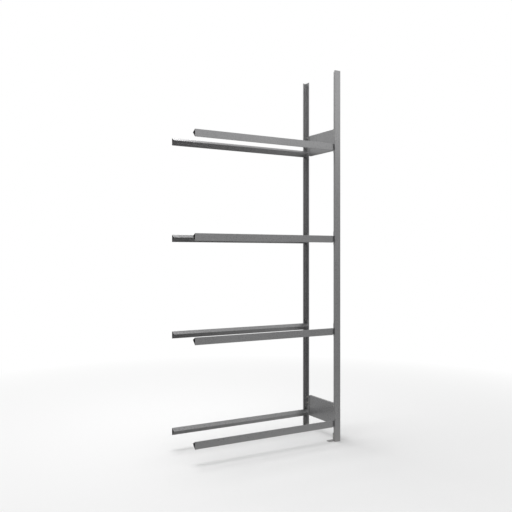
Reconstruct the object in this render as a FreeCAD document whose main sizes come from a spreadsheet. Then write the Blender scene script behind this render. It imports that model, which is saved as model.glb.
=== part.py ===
import FreeCAD, Part

# Tyre storage rack, add-on bay: one end frame of two T-posts holds four pairs of
# three-sided hollow beams on spigot brackets, and the free ends of the beams slide
# onto the spigots of the next frame in the run.
#
# Millimetres. X runs along the beams towards the end frame, -Y is the front (aisle)
# side and +Z is up. The origin is the centre of the rack's outline, on the floor.

import os

import Sketcher
from FreeCAD import Rotation, Vector

DIMENSIONS = {
    # whole rack
    "rack_length": 1284,
    "frame_depth": 470,
    "first_level": 172,
    "level_spacing": 750,
    # posts: roll-formed T section, lips turned in, web slotted at its root
    "post_length": 3012,
    "flange_width": 53,
    "flange_sheet": 2,
    "lip_depth": 15,
    "web_depth": 57,
    "web_thickness": 4,
    "outer_bend": 3,
    "inner_bend": 1,
    "root_bend": 2,
    "web_nose": 1.9,
    "slot_pitch": 25,
    "slot_count": 118,
    "slot_first": 43,
    "slot_length": 15,
    "slot_width": 6.4,
    "slot_inset": 12,
    # beams: three-sided tube, upright face outside, long edge pointing inside
    "beam_length": 1220,
    "beam_height": 59.6,
    "beam_reach": 40,
    "beam_drop": 22,
    "beam_sheet": 1.5,
    "beam_corner": 1.8,
    "beam_setback": 17,
    # brackets: end plate with two hooks and a hollow spigot that enters the beam
    "plate_sheet": 3,
    "plate_inset": 5,
    "plate_width": 50,
    "plate_above": 36,
    "plate_below": 74,
    "plate_corner": 5,
    "spigot_clearance": 0.3,
    "spigot_sheet": 2,
    "spigot_corner": 1,
    "spigot_entry": 60,
    "hook_slot": -4,
    "hook_spacing": 50,
    "hook_height": 7,
    "hook_drop": 7,
    "hook_plate": 3,
    "hook_thickness": 4,
    # locking pins: stop the hooks from lifting out of their slots
    "pin_radius": 2.8,
    "pin_clearance": 0.05,
    "pin_rise": 25.3,
    "pin_tail": 2,
    "pin_chamfer": 0.8,
    "collar_radius": 4.5,
    "collar_length": 1.5,
    "waist_radius": 3,
    "waist_length": 2.5,
    "knob_radius": 5.5,
    "knob_length": 4,
    "knob_round": 1.5,
    # brace plates: channels bolted to the two webs
    "brace_below": 50,
    "brace_height": 176,
    "brace_sheet": 2,
    "brace_flange": 15,
    "brace_gap": 3,
    "brace_overlap": 35,
    "tongue_margin": 4,
    "tongue_corner": 8,
    "bolt_inset": 40,
    "bolt_low": 109,
    "bolt_spacing": 50,
    "bolt_hole_radius": 4.5,
    # feet: angles bolted to the webs, anchored to the floor inside the bay
    "foot_sheet": 4,
    "foot_reach": 70,
    "foot_width": 40,
    "foot_height": 60,
    "foot_outer_bend": 6,
    "foot_inner_bend": 2,
    "foot_corner": 8,
    "foot_bolt_height": 38,
    "anchor_reach": 46,
    "anchor_radius": 5.5,
    # M8 screws, plain washers and nuts
    "screw_radius": 4,
    "screw_length": 18,
    "hexagon_flats": 13,
    "hexagon_chamfer": 0.95,
    "head_height": 5.3,
    "nut_height": 6.5,
    "nut_bore": 4.05,
    "washer_radius": 8,
    "washer_bore": 4.2,
    "washer_sheet": 1.6,
}

LEVELS = (1, 2, 3, 4)
BRACED_LEVELS = {"bottom": 1, "top": 4}
# Sign of the Y direction that points into the rack from each row's outer face.
INWARD = {"front": 1, "rear": -1}

POST_X = "(dims.rack_length - dims.flange_width) / 2"
WEB_HALF = "dims.web_thickness / 2"
BEAM_GAP = "(dims.rack_length - dims.flange_width - dims.beam_length)"
TOP_SLOPE = "sqrt(dims.beam_reach ^ 2 + dims.beam_drop ^ 2)"
LOW_SLOPE = "sqrt(dims.beam_reach ^ 2 + (dims.beam_height - dims.beam_drop) ^ 2)"

X_AXIS = Vector(1, 0, 0)
Y_AXIS = Vector(0, 1, 0)
Z_AXIS = Vector(0, 0, 1)
NEAR = 0.01
FULL_TURN = 360
QUARTER_TURN = 90

doc = FreeCAD.newDocument("tyre_storage_rack")
sheet = doc.addObject("Spreadsheet::Sheet", "dims")


def fill_sheet():
    for row, (alias, value) in enumerate(DIMENSIONS.items(), start=1):
        sheet.set(f"A{row}", alias)
        sheet.set(f"B{row}", str(value))
        sheet.setAlias(f"B{row}", alias)
    doc.recompute()


def number(expression):
    """Present value of an expression of sheet cells."""
    return float(sheet.evalExpression(expression))


def spot(x="0", y="0", z="0"):
    return Vector(number(x), number(y), number(z))


def place(piece, x="0", y="0", z="0"):
    piece.setExpression("Placement.Base.x", x)
    piece.setExpression("Placement.Base.y", y)
    piece.setExpression("Placement.Base.z", z)


def outer_face(inward):
    """Y of the outer face of the row's post."""
    return f"{-inward} * dims.frame_depth / 2"


def level_top(level):
    return f"(dims.first_level + {level - 1} * dims.level_spacing)"


# ---- modelling helpers ----

def new_body(name):
    body = doc.addObject("PartDesign::Body", name)
    body.Label = name
    return body


def origin_part(body, role):
    return next(part for part in body.Origin.OriginFeatures if part.Role == role)


def new_sketch(body, name, role):
    sketch = body.newObject("Sketcher::SketchObject", f"{body.Name}_{name}")
    sketch.AttachmentSupport = [(origin_part(body, role), "")]
    sketch.MapMode = "FlatFace"
    return sketch


def tie(sketch, kind, where, expression):
    """Fixes one coordinate of a point of the sketch to an expression."""
    row = sketch.addConstraint(Sketcher.Constraint(kind, -1, 1, *where, number(expression)))
    sketch.setExpression(f"Constraints[{row}]", expression)


def add_outline(sketch, corners):
    """Closes straight lines through corners, each a pair of expressions."""
    first = sketch.GeometryCount
    points = [spot(across, up) for across, up in corners]
    for start, end in zip(points, points[1:] + points[:1]):
        sketch.addGeometry(Part.LineSegment(start, end), False)
    for index, (across, up) in enumerate(corners):
        line = first + index
        previous = first + (index - 1) % len(corners)
        sketch.addConstraint(Sketcher.Constraint("Coincident", previous, 2, line, 1))
        tie(sketch, "DistanceX", (line, 1), across)
        tie(sketch, "DistanceY", (line, 1), up)


def add_circle(sketch, across, up, radius):
    circle = sketch.addGeometry(Part.Circle(spot(across, up), Z_AXIS, number(radius)), False)
    tie(sketch, "DistanceX", (circle, 3), across)
    tie(sketch, "DistanceY", (circle, 3), up)
    row = sketch.addConstraint(Sketcher.Constraint("Radius", circle, number(radius)))
    sketch.setExpression(f"Constraints[{row}]", radius)


def pad(body, name, sketch, length, side="One side", reverse=False):
    feature = body.newObject("PartDesign::Pad", f"{body.Name}_{name}")
    feature.Profile = sketch
    feature.SideType = side
    feature.Reversed = reverse
    feature.setExpression("Length", length)
    doc.recompute()
    return feature


def pocket(body, name, sketch, length, side="One side", reverse=False):
    """Cuts the sketch out of the body and makes sure that it took material away."""
    before = body.Shape.Volume
    feature = body.newObject("PartDesign::Pocket", f"{body.Name}_{name}")
    feature.Profile = sketch
    feature.SideType = side
    feature.Reversed = reverse
    feature.setExpression("Length", length)
    doc.recompute()
    if body.Shape.Volume > before - NEAR:
        raise RuntimeError(f"{feature.Name} cuts nothing")
    return feature


def edges_along(shape, direction, spots):
    """Names of the straight edges along direction that pass through the spots."""
    names = []
    for count, edge in enumerate(shape.Edges, start=1):
        start = edge.Vertexes[0].Point
        run = edge.Vertexes[-1].Point - start
        if run.Length < NEAR or run.cross(direction).Length > NEAR:
            continue
        if any((start - place_on).cross(direction).Length < NEAR for place_on in spots):
            names.append(f"Edge{count}")
    return names


def fillet(body, name, direction, spots, radius):
    base = body.Tip
    edges = edges_along(base.Shape, direction, spots)
    if not edges:
        raise RuntimeError(f"{body.Name}_{name} finds no edge")
    feature = body.newObject("PartDesign::Fillet", f"{body.Name}_{name}")
    feature.Base = (base, edges)
    feature.setExpression("Radius", radius)
    doc.recompute()
    return feature


# ---- posts ----

def post_corners(inward):
    edge = "dims.flange_width / 2"
    inside = "(dims.flange_width / 2 - dims.flange_sheet)"
    right = [
        (edge, "0"),
        (edge, "dims.lip_depth"),
        (inside, "dims.lip_depth"),
        (inside, "dims.flange_sheet"),
        (WEB_HALF, "dims.flange_sheet"),
        (WEB_HALF, "dims.web_depth"),
    ]
    left = [(f"-({across})", depth) for across, depth in reversed(right)]
    return [(across, f"{inward} * ({depth})") for across, depth in right + left]


def bend_spots(corners, index):
    """The corner at index and its twin on the other half of the post."""
    return [spot(*corners[index]), spot(*corners[-1 - index])]


def web_bolt_heights():
    """Heights of the screws through each web, the foot's screw first."""
    heights = ["dims.foot_bolt_height"]
    for level in BRACED_LEVELS.values():
        base = f"{level_top(level)} - dims.brace_below"
        heights.append(f"{base} + dims.bolt_low")
        heights.append(f"{base} + dims.bolt_low + dims.bolt_spacing")
    return heights


def make_post(row):
    inward = INWARD[row]
    body = new_body(f"post_{row}")
    corners = post_corners(inward)
    section = new_sketch(body, "section", "XY_Plane")
    add_outline(section, corners)
    pad(body, "length", section, "dims.post_length")
    for name, corner, radius in (
        ("outer_bends", 0, "dims.outer_bend"),
        ("inner_bends", 3, "dims.inner_bend"),
        ("root_bends", 4, "dims.root_bend"),
        ("web_nose", 5, "dims.web_nose"),
    ):
        fillet(body, name, Z_AXIS, bend_spots(corners, corner), radius)

    slot = new_sketch(body, "slot", "YZ_Plane")
    near = f"{inward} * (dims.slot_inset - dims.slot_width / 2)"
    far = f"{inward} * (dims.slot_inset + dims.slot_width / 2)"
    low = "dims.slot_first - dims.slot_length / 2"
    high = "dims.slot_first + dims.slot_length / 2"
    add_outline(slot, [(near, low), (far, low), (far, high), (near, high)])
    first_slot = pocket(body, "first_slot", slot, "dims.web_thickness + 2", "Symmetric")
    slots = body.newObject("PartDesign::LinearPattern", f"{body.Name}_slots")
    slots.Originals = [first_slot]
    slots.Direction = (origin_part(body, "Z_Axis"), [""])
    slots.setExpression("Length", "dims.slot_pitch * (dims.slot_count - 1)")
    slots.setExpression("Occurrences", "dims.slot_count")
    body.Tip = slots
    doc.recompute()

    holes = new_sketch(body, "bolt_holes", "YZ_Plane")
    for height in web_bolt_heights():
        add_circle(holes, f"{inward} * dims.bolt_inset", height, "dims.bolt_hole_radius")
    pocket(body, "holes", holes, "dims.web_thickness + 2", "Symmetric")
    place(body, POST_X, outer_face(inward))
    return body


# ---- beams ----

def beam_triangle(inward, inset):
    """Corners of the beam's section moved inside by inset, from its lower outer edge."""
    girth = f"(dims.beam_height + {TOP_SLOPE} + {LOW_SLOPE})"
    inner_radius = f"(dims.beam_height * dims.beam_reach / {girth})"
    edge_height = "(dims.beam_height - dims.beam_drop)"
    centre_height = f"(dims.beam_height * ({LOW_SLOPE} + {edge_height}) / {girth})"
    scale = f"(1 - ({inset}) / {inner_radius})"
    corners = [("0", "0"), ("0", "dims.beam_height"), ("dims.beam_reach", edge_height)]
    return [
        (
            f"{inward} * ({inner_radius} + {scale} * ({across} - {inner_radius}))",
            f"{centre_height} + {scale} * ({up} - {centre_height})",
        )
        for across, up in corners
    ]


def make_beam(row, level):
    inward = INWARD[row]
    body = new_body(f"beam_{row}_{level}")
    outside = beam_triangle(inward, "0")
    inside = beam_triangle(inward, "dims.beam_sheet")
    section = new_sketch(body, "section", "YZ_Plane")
    add_outline(section, outside)
    add_outline(section, inside)
    pad(body, "length", section, "dims.beam_length")
    outer_spots = [spot("0", *corner) for corner in outside]
    inner_spots = [spot("0", *corner) for corner in inside]
    fillet(body, "outer_corners", X_AXIS, outer_spots, "dims.beam_corner")
    fillet(body, "inner_corners", X_AXIS, inner_spots, "dims.beam_corner - dims.beam_sheet")
    setback = f"{-inward} * (dims.frame_depth / 2 - dims.beam_setback)"
    place(body, "-dims.rack_length / 2", setback, f"{level_top(level)} - dims.beam_height")
    return body


# ---- brackets ----

def add_spigot(body, inward):
    """Hollow spigot from the end plate through the gap and into the beam."""
    clearance = "(dims.beam_sheet + dims.spigot_clearance)"
    triangles = (
        beam_triangle(inward, clearance),
        beam_triangle(inward, f"{clearance} + dims.spigot_sheet"),
    )
    section = new_sketch(body, "spigot_section", "YZ_Plane")
    for triangle in triangles:
        corners = [
            (f"{inward} * dims.beam_setback + {across}", f"{up} - dims.beam_height")
            for across, up in triangle
        ]
        add_outline(section, corners)
        if triangle is triangles[0]:
            outer_spots = [spot("0", *corner) for corner in corners]
    reach = f"{BEAM_GAP} + dims.flange_width / 2 - {WEB_HALF} + dims.spigot_entry"
    pad(body, "spigot", section, reach, reverse=True)
    fillet(body, "spigot_corners", X_AXIS, outer_spots, "dims.spigot_corner")


def add_end_plate(body, inward):
    near = f"{inward} * dims.plate_inset"
    far = f"{inward} * (dims.plate_inset + dims.plate_width)"
    low = "-dims.plate_below"
    high = "dims.plate_above"
    corners = [(near, low), (far, low), (far, high), (near, high)]
    outline = new_sketch(body, "plate_outline", "YZ_Plane")
    add_outline(outline, corners)
    pad(body, "plate", outline, "dims.plate_sheet", reverse=True)
    plate_spots = [spot("0", *corner) for corner in corners]
    fillet(body, "plate_corners", X_AXIS, plate_spots, "dims.plate_corner")


def add_hooks(body, inward):
    """Two hooks that pass through the web and drop behind it."""
    sides = new_sketch(body, "hook_sides", "XZ_Plane")
    sides.setExpression("AttachmentOffset.Base.z", f"{-inward} * dims.slot_inset")
    reach = "dims.web_thickness + dims.hook_plate"
    for drop in ("0", "dims.hook_spacing"):
        seat = f"dims.hook_slot - {drop} - dims.slot_length / 2"
        crown = f"{seat} + dims.hook_height"
        tip = f"{seat} - dims.hook_drop"
        corners = [
            ("0", crown),
            (reach, crown),
            (reach, tip),
            ("dims.web_thickness", tip),
            ("dims.web_thickness", seat),
            ("0", seat),
        ]
        add_outline(sides, corners)
    pad(body, "hooks", sides, "dims.hook_thickness", "Symmetric")


def make_bracket(row, level):
    inward = INWARD[row]
    body = new_body(f"beam_bracket_{row}_{level}")
    add_spigot(body, inward)
    add_end_plate(body, inward)
    add_hooks(body, inward)
    hole = new_sketch(body, "pin_hole_outline", "YZ_Plane")
    add_circle(
        hole,
        f"{inward} * dims.slot_inset",
        "dims.pin_rise",
        "dims.pin_radius + dims.pin_clearance",
    )
    pocket(body, "pin_hole", hole, "dims.plate_sheet")
    place(body, f"{POST_X} - {WEB_HALF}", outer_face(inward), level_top(level))
    return body


# ---- locking pins ----

def make_locking_pin(row, level):
    """Turned pin, seated with its collar against the end plate, knob towards the bay."""
    inward = INWARD[row]
    body = new_body(f"locking_pin_{row}_{level}")
    tip = "dims.plate_sheet + dims.web_thickness + dims.pin_tail"
    collar_end = "-dims.collar_length"
    waist_end = f"{collar_end} - dims.waist_length"
    knob_end = f"{waist_end} - dims.knob_length"
    profile = new_sketch(body, "profile", "XZ_Plane")
    add_outline(profile, [
        (tip, "0"),
        (tip, "dims.pin_radius - dims.pin_chamfer"),
        (f"{tip} - dims.pin_chamfer", "dims.pin_radius"),
        ("0", "dims.pin_radius"),
        ("0", "dims.collar_radius"),
        (collar_end, "dims.collar_radius"),
        (collar_end, "dims.waist_radius"),
        (waist_end, "dims.waist_radius"),
        (waist_end, "dims.knob_radius"),
        (knob_end, "dims.knob_radius"),
        (knob_end, "0"),
    ])
    turned = body.newObject("PartDesign::Revolution", f"{body.Name}_turned")
    turned.Profile = profile
    turned.ReferenceAxis = (profile, ["H_Axis"])
    turned.Angle = FULL_TURN
    doc.recompute()
    rims = [
        f"Edge{count}"
        for count, edge in enumerate(turned.Shape.Edges, start=1)
        if abs(edge.BoundBox.YLength - 2 * number("dims.knob_radius")) < NEAR
    ]
    rounded = body.newObject("PartDesign::Fillet", f"{body.Name}_rounded")
    rounded.Base = (turned, rims)
    rounded.setExpression("Radius", "dims.knob_round")
    across = f"{outer_face(inward)} + {inward} * dims.slot_inset"
    seat = f"{POST_X} - {WEB_HALF} - dims.plate_sheet"
    place(body, seat, across, f"{level_top(level)} + dims.pin_rise")
    return body


# ---- brace plates ----

def make_brace_plate(name, level):
    """Channel between the posts, open away from the bay, its flat ends bolted outside the webs."""
    body = new_body(f"brace_plate_{name}")
    top = "dims.brace_height"
    sheet_top = "(dims.brace_height - dims.brace_sheet)"
    reach = "(dims.brace_sheet + dims.brace_flange)"
    channel = [
        ("0", "0"),
        (reach, "0"),
        (reach, "dims.brace_sheet"),
        ("dims.brace_sheet", "dims.brace_sheet"),
        ("dims.brace_sheet", sheet_top),
        (reach, sheet_top),
        (reach, top),
        ("0", top),
    ]
    section = new_sketch(body, "channel_section", "XZ_Plane")
    add_outline(section, channel)
    clear_span = "dims.frame_depth - 2 * (dims.web_depth + dims.brace_gap)"
    pad(body, "channel", section, clear_span, "Symmetric")
    outside = [spot(channel[index][0], "0", channel[index][1]) for index in (0, 7)]
    inside = [spot(channel[index][0], "0", channel[index][1]) for index in (3, 4)]
    fillet(body, "outer_bends", Y_AXIS, outside, "dims.outer_bend")
    fillet(body, "inner_bends", Y_AXIS, inside, "dims.inner_bend")

    end = "(dims.frame_depth / 2 - dims.web_depth + dims.brace_overlap)"
    low = "dims.tongue_margin"
    high = "(dims.brace_height - dims.tongue_margin)"
    corners = [(f"-{end}", low), (end, low), (end, high), (f"-{end}", high)]
    tongues = new_sketch(body, "tongue_outline", "YZ_Plane")
    add_outline(tongues, corners)
    pad(body, "tongues", tongues, "dims.brace_sheet")
    tongue_spots = [spot("0", *corner) for corner in corners]
    fillet(body, "tongue_corners", X_AXIS, tongue_spots, "dims.tongue_corner")

    holes = new_sketch(body, "bolt_holes", "YZ_Plane")
    for sign in (-1, 1):
        across = f"{sign} * (dims.frame_depth / 2 - dims.bolt_inset)"
        add_circle(holes, across, "dims.bolt_low", "dims.bolt_hole_radius")
        add_circle(holes, across, "dims.bolt_low + dims.bolt_spacing", "dims.bolt_hole_radius")
    pocket(body, "holes", holes, "dims.brace_sheet", reverse=True)
    place(body, f"{POST_X} + {WEB_HALF}", "0", f"{level_top(level)} - dims.brace_below")
    return body


# ---- feet ----

def make_foot_angle(row):
    """Bent angle with one leg against the web and the other on the floor."""
    inward = INWARD[row]
    body = new_body(f"foot_angle_{row}")
    reach = "-dims.foot_reach"
    section = new_sketch(body, "section", "XZ_Plane")
    section.setExpression("AttachmentOffset.Base.z", f"{-inward} * dims.bolt_inset")
    add_outline(section, [
        ("0", "0"),
        (reach, "0"),
        (reach, "dims.foot_sheet"),
        ("-dims.foot_sheet", "dims.foot_sheet"),
        ("-dims.foot_sheet", "dims.foot_height"),
        ("0", "dims.foot_height"),
    ])
    pad(body, "width", section, "dims.foot_width", "Symmetric")
    fillet(body, "outer_bend", Y_AXIS, [spot()], "dims.foot_outer_bend")
    inside = [spot("-dims.foot_sheet", "0", "dims.foot_sheet")]
    fillet(body, "inner_bend", Y_AXIS, inside, "dims.foot_inner_bend")
    sides = [f"{inward} * dims.bolt_inset {sign} dims.foot_width / 2" for sign in "+-"]
    toe_corners = [spot(reach, side) for side in sides]
    fillet(body, "toe_corners", Z_AXIS, toe_corners, "dims.foot_corner")
    top_corners = [spot("0", side, "dims.foot_height") for side in sides]
    fillet(body, "top_corners", X_AXIS, top_corners, "dims.foot_corner")

    middle = f"{inward} * dims.bolt_inset"
    bolt_hole = new_sketch(body, "bolt_hole_outline", "YZ_Plane")
    add_circle(bolt_hole, middle, "dims.foot_bolt_height", "dims.bolt_hole_radius")
    pocket(body, "bolt_hole", bolt_hole, "dims.foot_sheet")
    anchor = new_sketch(body, "anchor_outline", "XY_Plane")
    add_circle(anchor, "-dims.anchor_reach", middle, "dims.anchor_radius")
    pocket(body, "anchor_hole", anchor, "dims.foot_sheet", reverse=True)
    place(body, f"{POST_X} - {WEB_HALF}", outer_face(inward))
    return body


# ---- fasteners ----

def make_primitive(kind, name, **sizes):
    piece = doc.addObject(kind, name)
    for size, expression in sizes.items():
        piece.setExpression(size, expression)
    return piece


def make_hexagon(name, height):
    """Hexagon from z = 0 upwards, with its far corners chamfered by a cone."""
    prism = make_primitive(
        "Part::Prism", f"{name}_prism", Circumradius="dims.hexagon_flats / sqrt(3)", Height=height
    )
    prism.Polygon = 6
    small = "dims.hexagon_flats / 2 * dims.hexagon_chamfer"
    cone = make_primitive(
        "Part::Cone",
        f"{name}_chamfer",
        Radius1=f"{small} + {height} * sqrt(3)",
        Radius2=small,
        Height=height,
    )
    hexagon = doc.addObject("Part::Common", f"{name}_hexagon")
    hexagon.Base = prism
    hexagon.Tool = cone
    return hexagon


def make_screw():
    """Screw with its bearing face at z = 0, head above and shank below."""
    head = make_hexagon("screw", "dims.head_height")
    shank = make_primitive(
        "Part::Cylinder", "screw_shank", Radius="dims.screw_radius", Height="dims.screw_length"
    )
    place(shank, z="-dims.screw_length")
    screw = doc.addObject("Part::Fuse", "screw")
    screw.Base = head
    screw.Tool = shank
    return screw


def bored(name, blank, radius, height):
    bore = make_primitive("Part::Cylinder", f"{name}_bore", Radius=radius, Height=height)
    piece = doc.addObject("Part::Cut", name)
    piece.Base = blank
    piece.Tool = bore
    return piece


def make_nut():
    """Nut with its bearing face at z = 0."""
    blank = make_hexagon("nut", "dims.nut_height")
    return bored("nut", blank, "dims.nut_bore", "dims.nut_height")


def make_washer():
    blank = make_primitive(
        "Part::Cylinder", "washer_blank", Radius="dims.washer_radius", Height="dims.washer_sheet"
    )
    return bored("washer", blank, "dims.washer_bore", "dims.washer_sheet")


def screw_places():
    """Y, Z and the sheets clamped on the outer and inner side of the web, per screw."""
    places = []
    for inward in INWARD.values():
        across = f"{outer_face(inward)} + {inward} * dims.bolt_inset"
        foot_height, *brace_heights = web_bolt_heights()
        places.append((across, foot_height, "0", "dims.foot_sheet"))
        for height in brace_heights:
            places.append((across, height, "dims.brace_sheet", "0"))
    return places


def make_group(name, master, direction, bearing):
    """One node of identical fasteners: a linked copy of master at every screw."""
    turn = Rotation(Y_AXIS, direction * QUARTER_TURN)
    copies = []
    for count, (across, height, outer, inner) in enumerate(screw_places(), start=1):
        copy = doc.addObject("App::Link", f"{name}_{count}")
        copy.LinkedObject = master
        copy.Placement = FreeCAD.Placement(Vector(), turn)
        place(copy, bearing(outer, inner), across, height)
        copies.append(copy)
    group = doc.addObject("Part::Compound", name)
    group.Links = copies
    group.Label = name
    return group


def head_bearing(outer, inner):
    return f"{POST_X} + {WEB_HALF} + {outer}"


def washer_bearing(outer, inner):
    return f"{POST_X} - {WEB_HALF} - {inner}"


def nut_bearing(outer, inner):
    return f"{washer_bearing(outer, inner)} - dims.washer_sheet"


def make_fasteners():
    return [
        make_group("screws", make_screw(), 1, head_bearing),
        make_group("washers", make_washer(), -1, washer_bearing),
        make_group("nuts", make_nut(), -1, nut_bearing),
    ]


# ---- assembly ----

def make_rack():
    nodes = []
    for row in INWARD:
        nodes.append(make_post(row))
        nodes.append(make_foot_angle(row))
        for level in LEVELS:
            nodes.append(make_beam(row, level))
            nodes.append(make_bracket(row, level))
            nodes.append(make_locking_pin(row, level))
    for name, level in BRACED_LEVELS.items():
        nodes.append(make_brace_plate(name, level))
    nodes.extend(make_fasteners())
    doc.recompute()
    return nodes


def check(nodes):
    for piece in doc.Objects:
        if {"Invalid", "Error"} & set(piece.State):
            raise RuntimeError(f"{piece.Name} failed: {piece.State}")
    for node in nodes:
        if node.Shape.isNull() or not node.Shape.isValid() or not node.Shape.Solids:
            raise RuntimeError(f"{node.Label} has no sound shape")


def export(nodes):
    os.makedirs("parts", exist_ok=True)
    for node in nodes:
        node.Shape.exportStep(os.path.join("parts", f"{node.Label}.step"))


fill_sheet()
rack = make_rack()
check(rack)
export(rack)
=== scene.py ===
# Looks of the tyre storage rack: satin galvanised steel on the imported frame, with the
# fine metalwork that the frame leaves plain. Metres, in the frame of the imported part.

import math
import random

import bmesh
import bpy
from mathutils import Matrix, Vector
from mathutils.geometry import convex_hull_2d


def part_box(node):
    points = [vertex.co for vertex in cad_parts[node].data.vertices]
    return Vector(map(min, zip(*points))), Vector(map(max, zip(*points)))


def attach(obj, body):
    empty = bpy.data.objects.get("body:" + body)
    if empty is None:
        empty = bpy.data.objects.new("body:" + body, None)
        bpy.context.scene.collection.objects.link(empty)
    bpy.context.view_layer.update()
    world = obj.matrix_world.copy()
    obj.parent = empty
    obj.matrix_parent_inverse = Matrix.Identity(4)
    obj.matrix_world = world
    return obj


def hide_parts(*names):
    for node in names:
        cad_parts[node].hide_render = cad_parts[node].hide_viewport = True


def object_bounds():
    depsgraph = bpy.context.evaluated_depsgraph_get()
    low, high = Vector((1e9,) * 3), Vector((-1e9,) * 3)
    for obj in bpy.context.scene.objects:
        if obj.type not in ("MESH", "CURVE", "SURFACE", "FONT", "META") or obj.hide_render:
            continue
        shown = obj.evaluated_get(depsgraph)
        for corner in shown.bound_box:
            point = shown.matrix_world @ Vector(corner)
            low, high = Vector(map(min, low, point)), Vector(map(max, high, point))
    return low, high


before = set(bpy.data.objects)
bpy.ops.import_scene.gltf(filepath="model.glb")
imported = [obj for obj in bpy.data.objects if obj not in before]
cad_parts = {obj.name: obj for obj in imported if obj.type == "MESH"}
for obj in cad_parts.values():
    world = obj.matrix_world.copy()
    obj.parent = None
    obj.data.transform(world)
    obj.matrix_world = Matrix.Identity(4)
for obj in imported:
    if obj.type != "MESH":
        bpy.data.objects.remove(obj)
cad_low, cad_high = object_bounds()

MM = 0.001
LEVELS = (1, 2, 3, 4)
ROWS = ("front", "rear")
ROOT_BODY = "rack"


def put_in_scene(made):
    bpy.context.scene.collection.objects.link(made)


# ---------------------------------------------------------------- node helpers

EDGE_SAMPLES = 6


class Nodes:
    """A node tree, with short names for the nodes used here."""

    def __init__(self, tree):
        self.tree = tree
        tree.nodes.clear()

    def link(self, source, target):
        self.tree.links.new(source, target)

    def feed(self, socket, value):
        """A number or colour sets the socket; an output is linked to it."""
        if isinstance(value, bpy.types.NodeSocket):
            self.link(value, socket)
        else:
            socket.default_value = value

    def node(self, kind, **inputs):
        made = self.tree.nodes.new(kind)
        for name, value in inputs.items():
            self.feed(made.inputs[name.replace("_", " ")], value)
        return made

    def math(self, operation, first, second=0.0):
        made = self.node("ShaderNodeMath")
        made.operation = operation
        self.feed(made.inputs[0], first)
        self.feed(made.inputs[1], second)
        return made.outputs["Value"]

    def total(self, first, *others):
        for value in others:
            first = self.math("ADD", first, value)
        return first

    def spread(self, value, low, high, start=0.0, end=1.0):
        """value from start..end spread onto low..high, held at both ends."""
        made = self.node("ShaderNodeMapRange", Value=value)
        for socket, number in zip(("From Min", "From Max", "To Min", "To Max"), (start, end, low, high)):
            made.inputs[socket].default_value = number
        return made.outputs["Result"]

    def either_side(self, value, amount, start=0.0, end=1.0):
        """value from start..end spread onto amount either side of zero."""
        return self.spread(value, -amount, amount, start, end)

    def blend(self, factor, first, second):
        made = self.node("ShaderNodeMix")
        made.data_type = "RGBA"
        self.feed(made.inputs["Factor"], factor)
        self.feed(made.inputs["A"], first)
        self.feed(made.inputs["B"], second)
        return made.outputs["Result"]

    def mix(self, factor, first, second):
        """Shader that turns from first to second as factor goes from 0 to 1."""
        made = self.node("ShaderNodeMixShader", Fac=factor)
        self.link(first, made.inputs[1])
        self.link(second, made.inputs[2])
        return made.outputs["Shader"]


class Shader(Nodes):
    """A material's node tree, from its patterns to its principled surface."""

    def __init__(self, name):
        self.material = bpy.data.materials.new(name)
        self.material.use_nodes = True
        super().__init__(self.material.node_tree)
        self.surface = self.node("ShaderNodeBsdfPrincipled")
        self.output = self.node("ShaderNodeOutputMaterial", Surface=self.surface.outputs["BSDF"])

    def set_surface(self, **inputs):
        """Sets inputs of the principled surface."""
        for name, value in inputs.items():
            self.feed(self.surface.inputs[name.replace("_", " ")], value)

    def place(self, scale=(1, 1, 1)):
        """Position in the part's own frame, stretched by scale."""
        coordinates = self.node("ShaderNodeTexCoord")
        mapping = self.node("ShaderNodeMapping", Vector=coordinates.outputs["Object"], Scale=scale)
        return mapping.outputs["Vector"]

    def noise(self, place, scale, detail=3.0, roughness=0.5):
        made = self.node("ShaderNodeTexNoise", Vector=place, Scale=scale, Detail=detail, Roughness=roughness)
        return made.outputs["Fac"]

    def cells(self, place, scale):
        """One random number for each cell of a Voronoi pattern."""
        made = self.node("ShaderNodeTexVoronoi", Vector=place, Scale=scale)
        parts = self.node("ShaderNodeSeparateColor", Color=made.outputs["Color"])
        return parts.outputs["Red"]

    def tint(self, factor, color):
        """color times a varying brightness."""
        made = self.node("ShaderNodeVectorMath")
        made.operation = "SCALE"
        made.inputs["Vector"].default_value = color
        self.feed(made.inputs["Scale"], factor)
        return made.outputs["Vector"]

    def worn_edges(self, radius, sharpness):
        """(soft edge normal, 0..1 mask that is high along outside edges)."""
        rounded = self.node("ShaderNodeBevel", Radius=radius)
        rounded.samples = EDGE_SAMPLES
        geometry = self.node("ShaderNodeNewGeometry")
        dot = self.node("ShaderNodeVectorMath")
        dot.operation = "DOT_PRODUCT"
        self.link(rounded.outputs["Normal"], dot.inputs[0])
        self.link(geometry.outputs["Normal"], dot.inputs[1])
        mask = self.spread(dot.outputs["Value"], 1.0, 0.0, 1.0 - sharpness, 1.0)
        return rounded.outputs["Normal"], mask


# ---------------------------------------------------------------- materials

STEEL_COLOR = (0.41, 0.41, 0.415)
STEEL_METALLIC = 0.82
STEEL_ROUGHNESS = (0.26, 0.32)
STEEL_EDGE = 0.5 * MM
STEEL_EDGE_SHARPNESS = 0.25
RUBBED_STEEL = (0.62, 0.62, 0.61, 1.0)
FLOOR_DUST = (0.46, 0.445, 0.42, 1.0)
DUST_HEIGHT = 0.16
DUST_COVER = 0.5

# How the rolling lines' noise is stretched along X or Z, or not at all.
GRAIN = {"x": (1.5, 90, 90), "z": (90, 90, 1.5), "none": (35, 35, 35)}
# The part of a noise's range that holds most of its values.
MIDDLE = (0.3, 0.7)
STAIN_RANGE = (0.56, 0.72)

# Cells or waves of each pattern to a metre, before any stretch.
FLAKE_SCALE = 125.0
SPECK_SCALE = 430.0
LINE_SCALE = 9.0
HAZE_SCALE = 2.2
STAIN_SCALE = 14.0
RUB_SCALE = 60.0
DUST_SCALE = 25.0

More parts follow.
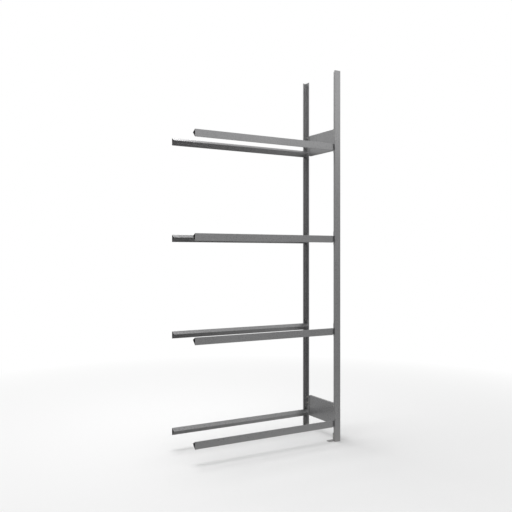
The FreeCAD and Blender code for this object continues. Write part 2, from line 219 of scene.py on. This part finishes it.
# How far each pattern shifts the brightness, as a share of it.
FLAKE_SHADE = 0.03
SPECK_SHADE = 0.012
LINE_SHADE = 0.05
HAZE_SHADE = 0.05
STAIN_SHADE = 0.04

# How far each pattern shifts the roughness.
FLAKE_ROUGHNESS = 0.012
STAIN_ROUGHNESS = 0.06
DUST_ROUGHNESS = 0.5
RUBBED_POLISH = 0.12

# How far dust hides the metal, and the relief of the rolling lines.
DUST_DULLING = 0.8
LINE_BUMP = 0.1
LINE_DEPTH = 0.2 * MM


def galvanised_steel(name, grain, brightness=1.0):
    """Satin zinc-coated strip: spangle, rolling lines, faint stains, rubbed edges, dust low down."""
    shader = Shader(name)
    place = shader.place()
    flakes = shader.cells(place, FLAKE_SCALE)
    specks = shader.cells(place, SPECK_SCALE)
    lines = shader.noise(shader.place(GRAIN[grain]), LINE_SCALE, 4.0, 0.6)
    haze = shader.noise(place, HAZE_SCALE, 2.0)
    stains = shader.spread(shader.noise(place, STAIN_SCALE, 5.0, 0.65), 0.0, 1.0, *STAIN_RANGE)
    soft_normal, edge = shader.worn_edges(STEEL_EDGE, STEEL_EDGE_SHARPNESS)
    rubbed = shader.math("MULTIPLY", edge, shader.noise(place, RUB_SCALE))
    height = shader.node("ShaderNodeSeparateXYZ", Vector=place).outputs["Z"]
    cover = shader.spread(height, DUST_COVER, 0.0, 0.0, DUST_HEIGHT)
    dust = shader.math("MULTIPLY", cover, shader.noise(place, DUST_SCALE, 4.0))

    shade = shader.total(
        shader.either_side(flakes, FLAKE_SHADE),
        shader.either_side(specks, SPECK_SHADE),
        shader.either_side(lines, LINE_SHADE, *MIDDLE),
        shader.spread(haze, 1 - HAZE_SHADE, 1 + HAZE_SHADE, *MIDDLE),
        shader.spread(stains, 0.0, -STAIN_SHADE),
    )
    bare = shader.tint(shade, tuple(part * brightness for part in STEEL_COLOR))
    roughness = shader.total(
        shader.either_side(flakes, FLAKE_ROUGHNESS),
        shader.spread(lines, *STEEL_ROUGHNESS, *MIDDLE),
        shader.spread(stains, 0.0, STAIN_ROUGHNESS),
        shader.math("MULTIPLY", dust, DUST_ROUGHNESS),
        shader.spread(rubbed, 0.0, -RUBBED_POLISH),
    )
    bump = shader.node(
        "ShaderNodeBump",
        Strength=LINE_BUMP,
        Distance=LINE_DEPTH,
        Height=lines,
        Normal=soft_normal,
    )
    shader.set_surface(
        Base_Color=shader.blend(dust, shader.blend(rubbed, bare, RUBBED_STEEL), FLOOR_DUST),
        Metallic=shader.math("SUBTRACT", STEEL_METALLIC, shader.math("MULTIPLY", dust, DUST_DULLING)),
        Roughness=roughness,
        Normal=bump.outputs["Normal"],
    )
    return shader.material


COOL_ZINC = (0.56, 0.57, 0.60, 1)
WARM_ZINC = (0.60, 0.58, 0.50, 1)
RUBBED_ZINC = (0.72, 0.72, 0.72, 1)
ZINC_ROUGHNESS = (0.24, 0.36)
ZINC_EDGE = 0.6 * MM
ZINC_EDGE_SHARPNESS = 0.3
ZINC_CLOUD_SCALE = 140.0
ZINC_CLOUD_RANGE = (0.35, 0.65)


def zinc_plate(name):
    """Zinc plating of the fasteners and pins, in faint warm and cool clouds, bare along the edges."""
    shader = Shader(name)
    cloud = shader.noise(shader.place(), ZINC_CLOUD_SCALE, 2.0)
    soft_normal, edge = shader.worn_edges(ZINC_EDGE, ZINC_EDGE_SHARPNESS)
    plating = shader.blend(shader.spread(cloud, 0.0, 1.0, *ZINC_CLOUD_RANGE), COOL_ZINC, WARM_ZINC)
    shader.set_surface(
        Base_Color=shader.blend(edge, plating, RUBBED_ZINC),
        Metallic=1.0,
        Roughness=shader.spread(cloud, *ZINC_ROUGHNESS, *MIDDLE),
        Normal=soft_normal,
    )
    return shader.material


def wear(node, material):
    """Gives a node of the frame its material."""
    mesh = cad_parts[node].data
    mesh.materials.clear()
    mesh.materials.append(material)


def dress_frame():
    """Gives every node of the frame its material."""
    along_x = galvanised_steel("galvanised_beam", "x")
    along_z = galvanised_steel("galvanised_post", "z")
    pressed = galvanised_steel("galvanised_plate", "none")
    plated = zinc_plate("zinc_plated_steel")
    for row in ROWS:
        wear(f"post_{row}", along_z)
        wear(f"foot_angle_{row}", pressed)
        for level in LEVELS:
            wear(f"beam_{row}_{level}", along_x)
            wear(f"beam_bracket_{row}_{level}", pressed)
            wear(f"locking_pin_{row}_{level}", plated)
    for node in ("brace_plate_bottom", "brace_plate_top"):
        wear(node, pressed)
    for node in ("screws", "washers", "nuts"):
        wear(node, plated)


# ---------------------------------------------------------------- fine metalwork

SHARP_ANGLE = 38
# Corners nearer than this to a plane lie in it.
IN_PLANE = 0.01 * MM


class Surface:
    """Corners and faces of a piece that is put together from skinned rings."""

    def __init__(self):
        self.corners = []
        self.faces = []

    def skin(self, rings, looped=False):
        """Joins rings of equal size into a closed surface; looped joins the last ring to the first."""
        start = len(self.corners)
        size = len(rings[0])
        count = len(rings)
        for ring in rings:
            self.corners.extend(ring)
        for step in range(count if looped else count - 1):
            here = start + step * size
            there = start + (step + 1) % count * size
            for k in range(size):
                after = (k + 1) % size
                self.faces.append((here + k, here + after, there + after, there + k))
        if not looped:
            last = start + (count - 1) * size
            self.faces.append(tuple(range(start, start + size)))
            self.faces.append(tuple(range(last, last + size)))

    def turn(self, axis, profile, sides, radius=None):
        """Skins circles about an axis along X through axis (y, z); profile is (x, radius) pairs.

        radius(x, widest, angle) gives the radius at an angle where it isn't the same all round.
        """
        rings = []
        for x, widest in profile:
            ring = []
            for k in range(sides):
                angle = math.tau * k / sides
                reach = radius(x, widest, angle) if radius else widest
                ring.append((x, axis[0] + reach * math.cos(angle), axis[1] + reach * math.sin(angle)))
            rings.append(ring)
        self.skin(rings)

    def piece(self, name, material, body):
        """The finished object, riding on a body."""
        mesh = bpy.data.meshes.new(name)
        mesh.from_pydata(self.corners, [], self.faces)
        shape = bmesh.new()
        shape.from_mesh(mesh)
        bmesh.ops.recalc_face_normals(shape, faces=shape.faces)
        shape.to_mesh(mesh)
        shape.free()
        mesh.shade_smooth()
        mesh.set_sharp_from_angle(angle=math.radians(SHARP_ANGLE))
        mesh.materials.append(material)
        made = bpy.data.objects.new(name, mesh)
        put_in_scene(made)
        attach(made, body)
        return made


def corners_of(node):
    """The corners of a frame node's mesh."""
    return [vertex.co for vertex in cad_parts[node].data.vertices]


def end_outline(node):
    """Outer outline of the node's -X end, as (y, z) corners in order round it."""
    corners = corners_of(node)
    tip = min(corner.x for corner in corners)
    points = sorted({(corner.y, corner.z) for corner in corners if corner.x < tip + IN_PLANE})
    hull = [Vector(points[k]) for k in convex_hull_2d(points)]
    area = sum(here.x * there.y - there.x * here.y for here, there in zip(hull, hull[1:] + hull[:1]))
    return hull if area > 0 else hull[::-1]


def outward(here, there):
    """Outward normal of an outline's side."""
    side = (there - here).normalized()
    return Vector((side.y, -side.x))


def walk_round(outline, step):
    """(distance, point, outward normal) at even steps round a closed outline."""
    count = len(outline)
    sides = list(zip(outline, outline[1:] + outline[:1]))
    normals = [outward(here, there) for here, there in sides]
    stops = []
    gone = 0.0
    for k, (here, there) in enumerate(sides):
        first = (normals[k - 1] + normals[k]).normalized()
        last = (normals[k] + normals[(k + 1) % count]).normalized()
        length = (there - here).length
        parts = max(1, round(length / step))
        for part in range(parts):
            share = part / parts
            normal = first.lerp(last, share).normalized()
            stops.append((gone + share * length, here.lerp(there, share), normal))
        gone += length
    return stops


# Leg of the fillet, how much it varies, and how far its face is hollowed between the toes.
WELD_LEG = 2.9 * MM
WELD_WOBBLE = 0.012
WELD_HOLLOW = 0.22
WELD_STEP = 0.45 * MM
WELD_ARC = 6
# Length of a ripple, its depth as a share of the bead, and how far it bows along the bead.
WELD_RIPPLE = 2.1 * MM
WELD_RIPPLE_DEPTH = 0.16
WELD_RIPPLE_BOW = 0.45
# How deep the bead's root lies in both pieces, and how deep its toe on the plate lies in the plate.
WELD_ROOT = 0.4 * MM
WELD_SINK = 0.05 * MM
# The bead stays this far inside the plate's vertical edges.
WELD_EDGE = 0.3 * MM
# A spigot's tip stands at least this far out from its plate.
SPIGOT_LEAST = 70 * MM


def weld_bead(row, level, material, chance):
    """Rippled fillet weld where the bracket's hollow spigot meets its end plate."""
    bracket = f"beam_bracket_{row}_{level}"
    low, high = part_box(bracket)
    planes = sorted({round(corner.x, 5) for corner in corners_of(bracket)})
    plate_face = next(x for x in planes if x > planes[0] + SPIGOT_LEAST)
    rings = []
    for distance, point, normal in walk_round(end_outline(bracket), WELD_STEP):
        wobble = 1 + chance.uniform(-WELD_WOBBLE, WELD_WOBBLE)
        root = point - normal * WELD_ROOT
        ring = [(plate_face + WELD_ROOT, root.x, root.y)]
        for k in range(WELD_ARC + 1):
            angle = math.radians(90) * k / WELD_ARC
            bow = math.sin(2 * angle)
            ripple = (distance / WELD_RIPPLE + WELD_RIPPLE_BOW * bow) % 1
            leg = WELD_LEG * wobble * (1 - WELD_HOLLOW * bow) * (1 - WELD_RIPPLE_DEPTH * ripple * bow)
            reach = point + normal * leg * math.cos(angle)
            across = min(max(reach.x, low.y + WELD_EDGE), high.y - WELD_EDGE)
            ring.append((plate_face - leg * math.sin(angle) + WELD_SINK, across, reach.y))
        rings.append(ring)
    surface = Surface()
    surface.skin(rings, looped=True)
    surface.piece(f"weld_bead_{row}_{level}", material, ROOT_BODY)


SEAM_HALF = 1.0 * MM
SEAM_RISE = 0.28 * MM
SEAM_STEP = 3 * MM
SEAM_END = 1 * MM
# The seam wanders sideways in a wave of so many radians to a metre, and shakes at every ring.
SEAM_DRIFT = 0.15 * MM
SEAM_DRIFT_TURN = 19
SEAM_SHAKE = 0.04 * MM
# Its rise swells and sinks by this share, in a wave of so many radians to a ring.
SEAM_LUMP = 0.25
SEAM_LUMP_TURN = 2.1
# Across the seam and up, as shares of its half width and of its rise.
SEAM_PROFILE = (
    (-1.0, -0.4),
    (-0.85, 0.35),
    (-0.45, 0.9),
    (0.0, 1.0),
    (0.45, 0.9),
    (0.85, 0.35),
    (1.0, -0.4),
)
# How far a slope's normal leans down and sideways, at least.
SLOPE_LEAST = 0.3


def lower_slope(outline):
    """The longest side of an outline that faces down and sideways."""
    slopes = []
    for here, there in zip(outline, outline[1:] + outline[:1]):
        normal = outward(here, there)
        if abs(normal.x) > SLOPE_LEAST and normal.y < -SLOPE_LEAST:
            slopes.append((here, there))
    return max(slopes, key=lambda side: (side[1] - side[0]).length)


def beam_seam(row, level, material, chance):
    """Scarfed longitudinal weld of the tube, on its lower slope."""
    beam = f"beam_{row}_{level}"
    low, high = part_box(beam)
    here, there = lower_slope(end_outline(beam))
    middle = (here + there) / 2
    along = (there - here).normalized()
    normal = outward(here, there)
    length = high.x - low.x - 2 * SEAM_END
    count = round(length / SEAM_STEP)
    rings = []
    for k in range(count + 1):
        x = low.x + SEAM_END + length * k / count
        drift = SEAM_DRIFT * math.sin(x * SEAM_DRIFT_TURN + level) + chance.uniform(-SEAM_SHAKE, SEAM_SHAKE)
        rise = SEAM_RISE * (1 + SEAM_LUMP * math.sin(k * SEAM_LUMP_TURN))
        ring = []
        for across, height in SEAM_PROFILE:
            point = middle + along * (across * SEAM_HALF + drift) + normal * height * rise
            ring.append((x, point.x, point.y))
        rings.append(ring)
    surface = Surface()
    surface.skin(rings)
    surface.piece(f"beam_seam_{row}_{level}", material, ROOT_BODY)


SPOT_INSET = 27 * MM
SPOT_FIRST = 80 * MM
SPOT_PITCH = 100 * MM
SPOT_MARGIN = 6 * MM
SPOT_UP_SHIFT = 2 * MM
SPOT_SIDE_SHIFT = 0.6 * MM
SPOT_SIDES = 20
# Rise over the web's face and radius, in millimetres, from the outer ring to the middle.
SPOT_PROFILE = ((-0.15, 3.5), (0.04, 3.4), (0.2, 3.0), (0.24, 2.7), (0.14, 2.3), (0.05, 1.6), (0.03, 0.6))
# Corners of a post further in than this from its outer face belong to its web.
WEB_FROM = 52 * MM


def spot_welds(row, material, chance):
    """Round electrode marks down both faces of the post's web, clear of what is fixed to it."""
    post = f"post_{row}"
    low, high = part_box(post)
    outer = low.y if row == "front" else high.y
    inward = 1 if row == "front" else -1
    web = [corner.x for corner in corners_of(post) if abs(corner.y) < abs(outer) - WEB_FROM]
    covers = [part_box(f"beam_bracket_{row}_{level}") for level in LEVELS]
    covers += [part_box("brace_plate_bottom"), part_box("brace_plate_top"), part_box(f"foot_angle_{row}")]
    surface = Surface()
    for k in range(round((high.z - low.z) / SPOT_PITCH)):
        height = low.z + SPOT_FIRST + k * SPOT_PITCH + chance.uniform(-SPOT_UP_SHIFT, SPOT_UP_SHIFT)
        covered = any(box[0].z - SPOT_MARGIN < height < box[1].z + SPOT_MARGIN for box in covers)
        if covered or height > high.z - SPOT_MARGIN:
            continue
        for face, way in ((min(web), -1), (max(web), 1)):
            inset = SPOT_INSET + chance.uniform(-SPOT_SIDE_SHIFT, SPOT_SIDE_SHIFT)
            profile = [(face + way * rise * MM, radius * MM) for rise, radius in SPOT_PROFILE]
            surface.turn((outer + inward * inset, height), profile, SPOT_SIDES)
    surface.piece(f"spot_welds_{row}", material, ROOT_BODY)


SCREW_APART = 20 * MM
THREAD_PITCH = 1.25 * MM
THREAD_DEPTH = 0.62 * MM
THREAD_LENGTH = 8.5 * MM
THREAD_POINT = 0.9 * MM
# Radius of the tail's point, as a share of the shank's.
THREAD_TIP = 0.5
# Rings of corners to each turn of the thread, and corners to each ring.
THREAD_RINGS = 8
THREAD_SIDES = 32
STEM_INTO_HEAD = 0.1 * MM
HEAD_SIDES = 72
HEAD_CHAMFER = 0.95 * MM
HEAD_CHAMFER_STEPS = 6
# Radii of the head are shares of its half width across flats: its corners stand at the rim,
# its chamfer ends at the crown, and what is further out than the shank belongs to the head.
HEAD_RIM = 1 / math.cos(math.radians(30))
HEAD_CROWN = 0.92
HEAD_FROM = 0.8
# Height over the bearing face in millimetres, and radius.
HEAD_FOOT = ((-0.2, 0.6), (0.0, 0.93), (0.35, 0.95), (0.35, 1.02), (0.7, HEAD_RIM))
# Depth below the top face in millimetres, and radius.
HEAD_DISH = ((0.0, 0.70), (0.4, 0.62), (0.4, 0.1))


def screw_clusters():
    """The corners of each screw, found by their distance from one another across the axes."""
    groups = []
    for corner in corners_of("screws"):
        near = [group for group in groups if (group[0].yz - corner.yz).length < SCREW_APART]
        if near:
            near[0].append(corner)
        else:
            groups.append([corner])
    return groups


def hexagon_head(surface, axis, bearing, top, flat):
    """Hexagon head with a raised bearing face, a chamfered crown and a dished top."""

    def hexagon(x, widest, angle):
        turned = (angle + math.radians(30)) % math.radians(60) - math.radians(30)
        return min(widest, flat / math.cos(turned))

    profile = [(bearing + height * MM, radius * flat) for height, radius in HEAD_FOOT]
    for k in range(HEAD_CHAMFER_STEPS + 1):
        share = k / HEAD_CHAMFER_STEPS
        radius = HEAD_RIM - (HEAD_RIM - HEAD_CROWN) * share
        profile.append((top - HEAD_CHAMFER * (1 - share), radius * flat))
    profile += [(top - depth * MM, radius * flat) for depth, radius in HEAD_DISH]
    surface.turn(axis, profile, HEAD_SIDES, hexagon)


def threaded_stem(surface, axis, tail, bearing, shank):
    """Cut thread with a pointed tail, and the plain stem between it and the head."""

    def thread(x, widest, angle):
        turned = ((x - tail) / THREAD_PITCH - angle / math.tau) % 1
        groove = THREAD_DEPTH * abs(2 * turned - 1)
        point = max(0.0, THREAD_POINT - (x - tail))
        return max(widest - groove - point, THREAD_TIP * widest)

    rings = round(THREAD_LENGTH / THREAD_PITCH * THREAD_RINGS)
    profile = [(tail + THREAD_LENGTH * k / rings, shank) for k in range(rings + 1)]
    surface.turn(axis, profile, THREAD_SIDES, thread)
    plain = shank - 0.5 * THREAD_DEPTH
    start = tail + THREAD_LENGTH - THREAD_PITCH
    surface.turn(axis, [(start, plain), (bearing + STEM_INTO_HEAD, plain)], THREAD_SIDES)


def add_screw(surface, corners):
    """Hexagon screw in the place and to the size of the CAD screw with these corners."""
    across = [corner.y for corner in corners]
    up = [corner.z for corner in corners]
    axis = ((min(across) + max(across)) / 2, (min(up) + max(up)) / 2)
    flat = (max(across) - min(across)) / 2
    tail = min(corner.x for corner in corners)
    top = max(corner.x for corner in corners)
    off_axis = [(corner.x, (corner.yz - Vector(axis)).length) for corner in corners]
    bearing = min(x for x, radius in off_axis if radius > HEAD_FROM * flat)
    shank = max(radius for x, radius in off_axis if x < tail + IN_PLANE)
    hexagon_head(surface, axis, bearing, top, flat)
    threaded_stem(surface, axis, tail, bearing, shank)


def make_screws(material):
    """All the screws as one piece, in the place of their CAD node."""
    surface = Surface()
    for corners in screw_clusters():
        add_screw(surface, corners)
    made = surface.piece("hexagon_screws", material, ROOT_BODY)
    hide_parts("screws")


KNURL_COUNT = 26
KNURL_DEPTH = 0.28 * MM
# Turn of the grooves' wave along the pin, in radians to a metre.
KNURL_LEAN = 900 * math.tau
KNURL_SIDES = 156
KNOB_LENGTH = 4 * MM
KNOB_RADIUS = 5.48 * MM
KNOB_ROUND = 1.1 * MM
KNOB_ROUND_STEPS = 6
# Only what is wider than this share of the knob is knurled.
KNOB_RIM = 0.9
KNOB_RIM_STEPS = 10
# Distance along the pin from the knob's flat face and radius, in millimetres: first the
# shallow ring in that face, then the stem behind the knob with its waist, flange and tip.
KNOB_FACE = ((0.0, 0.3), (0.0, 2.466), (0.15, 3.014))
PIN_STEM = (
    (3.9, 2.2),
    (3.9, 2.9),
    (4.3, 2.75),
    (5.2, 2.6),
    (6.1, 2.75),
    (6.4, 2.95),
    (6.55, 4.1),
    (6.75, 4.4),
    (7.75, 4.45),
    (7.98, 4.3),
    (7.98, 2.79),
    (15.9, 2.79),
    (16.2, 2.75),
    (16.9, 2.1),
    (17.0, 1.9),
    (17.0, 0.3),
)


def knurl(x, widest, angle):
    """Crossed grooves cut into the knob's rim."""
    if widest <= KNOB_RIM * KNOB_RADIUS:
        return widest
    first = math.sin(KNURL_COUNT * angle / 2 + KNURL_LEAN * x) ** 2
    second = math.sin(KNURL_COUNT * angle / 2 - KNURL_LEAN * x) ** 2
    return widest - KNURL_DEPTH * (1 - first * second)


def knob_profile(face):
    """Half section of the knob behind its flat face: a shallow ring, round corners, a straight rim."""
    turns = [math.radians(90) * k / KNOB_ROUND_STEPS for k in range(KNOB_ROUND_STEPS + 1)]
    rim = KNOB_LENGTH - 2 * KNOB_ROUND
    profile = [(face + along * MM, radius * MM) for along, radius in KNOB_FACE]
    for turn in turns:
        inset = KNOB_ROUND * (1 - math.sin(turn))
        profile.append((face + KNOB_ROUND * (1 - math.cos(turn)), KNOB_RADIUS - inset))
    for k in range(1, KNOB_RIM_STEPS):
        profile.append((face + KNOB_ROUND + rim * k / KNOB_RIM_STEPS, KNOB_RADIUS))
    for turn in turns:
        inset = KNOB_ROUND * (1 - math.cos(turn))
        profile.append((face + KNOB_LENGTH - KNOB_ROUND * (1 - math.sin(turn)), KNOB_RADIUS - inset))
    return profile


def locking_pin(row, level, material):
    """Turned pin with a knurled knob, in the place of its CAD node."""
    node = f"locking_pin_{row}_{level}"
    low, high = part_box(node)
    axis = tuple((low + high).yz / 2)
    profile = knob_profile(low.x)
    profile += [(low.x + along * MM, radius * MM) for along, radius in PIN_STEM]
    surface = Surface()
    surface.turn(axis, profile, KNURL_SIDES, knurl)
    made = surface.piece(f"knurled_pin_{row}_{level}", material, node)
    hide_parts(node)


SEED = 11
WELD_BRIGHTNESS = 0.9


def add_metalwork():
    """Adds the welds and seams, and the fine pins and screws in place of the plain ones."""
    chance = random.Random(SEED)
    weld = galvanised_steel("galvanised_weld", "none", WELD_BRIGHTNESS)
    plated = zinc_plate("zinc_plated_pins")
    for row in ROWS:
        spot_welds(row, weld, chance)
        for level in LEVELS:
            weld_bead(row, level, weld, chance)
            beam_seam(row, level, weld, chance)
            locking_pin(row, level, plated)
    make_screws(plated)


# ---------------------------------------------------------------- stage

# The camera's turn from the rack's front, its distance from the rack's middle and its
# sideways shift to the left. Lens and sensor are in millimetres, as cameras have them.
VIEW_YAW = math.radians(29.6)
VIEW_DISTANCE = 5.104
VIEW_SHIFT = 0.0135
LENS = 45.04
SENSOR = 36.0


def make_camera():
    """Level camera at half the rack's height, in front and to the left of it."""
    middle = (cad_low + cad_high) / 2
    ahead = Vector((math.sin(VIEW_YAW), math.cos(VIEW_YAW), 0))
    right = Vector((math.cos(VIEW_YAW), -math.sin(VIEW_YAW), 0))
    data = bpy.data.cameras.new("camera")
    data.lens = LENS
    data.sensor_width = SENSOR
    camera = bpy.data.objects.new("camera", data)
    camera.location = middle - ahead * VIEW_DISTANCE - right * VIEW_SHIFT
    camera.rotation_euler = (math.radians(90), 0, -VIEW_YAW)
    put_in_scene(camera)
    bpy.context.scene.camera = camera


# Brightness of the studio by height in degrees, as seen towards the front and towards the back.
FRONT_SKY = (
    (-90, 0.0),
    (-63, 0.0),
    (-55, 0.62),
    (-46, 0.36),
    (-16, 0.46),
    (-6, 0.34),
    (2, 0.33),
    (9, 0.66),
    (16, 1.22),
    (24, 0.92),
    (38, 0.42),
    (90, 0.50),
)
BACK_SKY = (
    (-90, 0.0),
    (-63, 0.0),
    (-55, 0.62),
    (-46, 0.36),
    (-10, 0.40),
    (2, 0.39),
    (12, 0.53),
    (25, 0.54),
    (50, 0.50),
    (90, 0.50),
)
# The two blend within this sine of the angle from the rack's sides.
SKY_TURN = 0.4
BACKDROP = (1.0, 1.0, 1.0, 1.0)


def sky_ramp(nodes, share, stops):
    """Grey level that follows the stops, for a share of 0 straight down to 1 overhead."""
    ramp = nodes.node("ShaderNodeValToRGB", Fac=share)
    marks = ramp.color_ramp.elements
    while len(marks) < len(stops):
        marks.new(0.5)
    for mark, (height, level) in zip(marks, stops):
        mark.position = (height + 90) / 180
        mark.color = (level, level, level, 1)
    return ramp.outputs["Color"]


def make_world():
    """A soft studio for the steel to mirror, with a white backdrop behind everything."""
    world = bpy.data.worlds.new("studio")
    bpy.context.scene.world = world
    world.use_nodes = True
    nodes = Nodes(world.node_tree)
    direction = nodes.node("ShaderNodeTexCoord").outputs["Generated"]
    parts = nodes.node("ShaderNodeSeparateXYZ", Vector=direction)
    rise = nodes.math("ARCSINE", parts.outputs["Z"])
    share = nodes.spread(rise, 0.0, 1.0, math.radians(-90), math.radians(90))
    behind = nodes.spread(parts.outputs["Y"], 0.0, 1.0, -SKY_TURN, SKY_TURN)
    behind.node.interpolation_type = "SMOOTHSTEP"
    front_sky = sky_ramp(nodes, share, FRONT_SKY)
    back_sky = sky_ramp(nodes, share, BACK_SKY)
    around = nodes.node("ShaderNodeBackground", Color=nodes.blend(behind, front_sky, back_sky))
    white = nodes.node("ShaderNodeBackground", Color=BACKDROP)
    seen = nodes.node("ShaderNodeLightPath").outputs["Is Camera Ray"]
    mixed = nodes.mix(seen, around.outputs["Background"], white.outputs["Background"])
    nodes.node("ShaderNodeOutputWorld", Surface=mixed)


def make_light(name, place, target, size, power, mirrored):
    """Round soft light; mirrored says whether the steel shows its reflection."""
    data = bpy.data.lights.new(name, "AREA")
    data.shape = "DISK"
    data.size = size
    data.energy = power
    light = bpy.data.objects.new(name, data)
    light.location = place
    light.rotation_euler = (Vector(target) - Vector(place)).to_track_quat("-Z", "Y").to_euler()
    light.visible_glossy = mirrored
    put_in_scene(light)


FLOOR_RADIUS = 60.0
FLOOR_SIDES = 96
FLOOR_COLOR = (0.87, 0.87, 0.87)
FLOOR_GRAIN = 0.015
FLOOR_GRAIN_SCALE = 30.0
# Distances from the rack's middle between which the floor turns into the backdrop.
FLOOR_WHITE_FROM = 0.9
FLOOR_WHITE_TO = 4.6


def floor_material():
    """Pale floor that turns into the white of the backdrop away from the rack."""
    shader = Shader("pale_floor")
    place = shader.place()
    grain = shader.noise(place, FLOOR_GRAIN_SCALE, 4.0)
    shader.set_surface(
        Base_Color=shader.tint(shader.spread(grain, 1 - FLOOR_GRAIN, 1.0), FLOOR_COLOR),
        Roughness=0.9,
        Specular_IOR_Level=0.1,
    )
    length = shader.node("ShaderNodeVectorMath")
    length.operation = "LENGTH"
    shader.link(place, length.inputs[0])
    away = shader.spread(length.outputs["Value"], 0.0, 1.0, FLOOR_WHITE_FROM, FLOOR_WHITE_TO)
    glow = shader.node("ShaderNodeEmission", Color=BACKDROP)
    mixed = shader.mix(away, shader.surface.outputs["BSDF"], glow.outputs["Emission"])
    shader.link(mixed, shader.output.inputs["Surface"])
    return shader.material


def make_floor():
    """A wide pale disc that the rack's feet stand on; the steel mirrors the studio in its place."""
    corners = []
    for k in range(FLOOR_SIDES):
        angle = math.tau * k / FLOOR_SIDES
        corners.append((FLOOR_RADIUS * math.cos(angle), FLOOR_RADIUS * math.sin(angle), cad_low.z))
    mesh = bpy.data.meshes.new("floor")
    mesh.from_pydata(corners, [], [list(range(FLOOR_SIDES))])
    mesh.materials.append(floor_material())
    floor = bpy.data.objects.new("floor", mesh)
    put_in_scene(floor)
    floor.visible_diffuse = False
    floor.visible_glossy = False


def make_stage():
    """Camera, studio, lights and floor."""
    make_camera()
    make_world()
    make_light("overhead", place=(-0.4, 0.6, 5.0), target=(0, 0, 0), size=3.0, power=130, mirrored=False)
    make_light("behind", place=(0.2, 3.8, 5.0), target=(0, 0, 2.0), size=2.6, power=60, mirrored=True)
    make_floor()
    bpy.context.scene.view_settings.view_transform = "Standard"


dress_frame()
add_metalwork()
make_stage()
